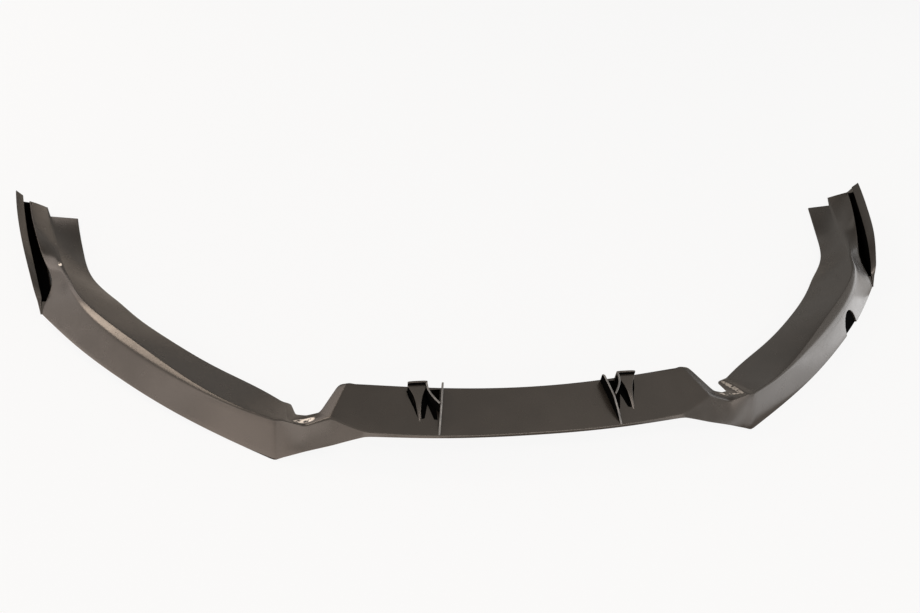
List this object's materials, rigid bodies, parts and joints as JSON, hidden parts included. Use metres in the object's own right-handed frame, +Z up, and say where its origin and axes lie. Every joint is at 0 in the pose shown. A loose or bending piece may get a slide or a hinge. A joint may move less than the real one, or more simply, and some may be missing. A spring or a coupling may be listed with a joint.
{
  "type": "front splitter lip",
  "caption": "One-piece moulded splitter lip that wraps the lower front edge of a car's bumper: level centre plate with upright brackets, notched corners and swept arms with slotted ends.",
  "frame": {"origin": "on the floor under the middle of the lip's outline, with the lip lying as it rests", "axes": "+X across the car to the lip's right, +Y back along the arms, +Z up"},
  "size_m": [1.7934, 0.6538, 0.0866],
  "materials": {
    "lip": "satin black plastic with handling dust"
  },
  "bodies": {
    "root": {"splitter_lip": "lip"}
  },
  "joints": []
}
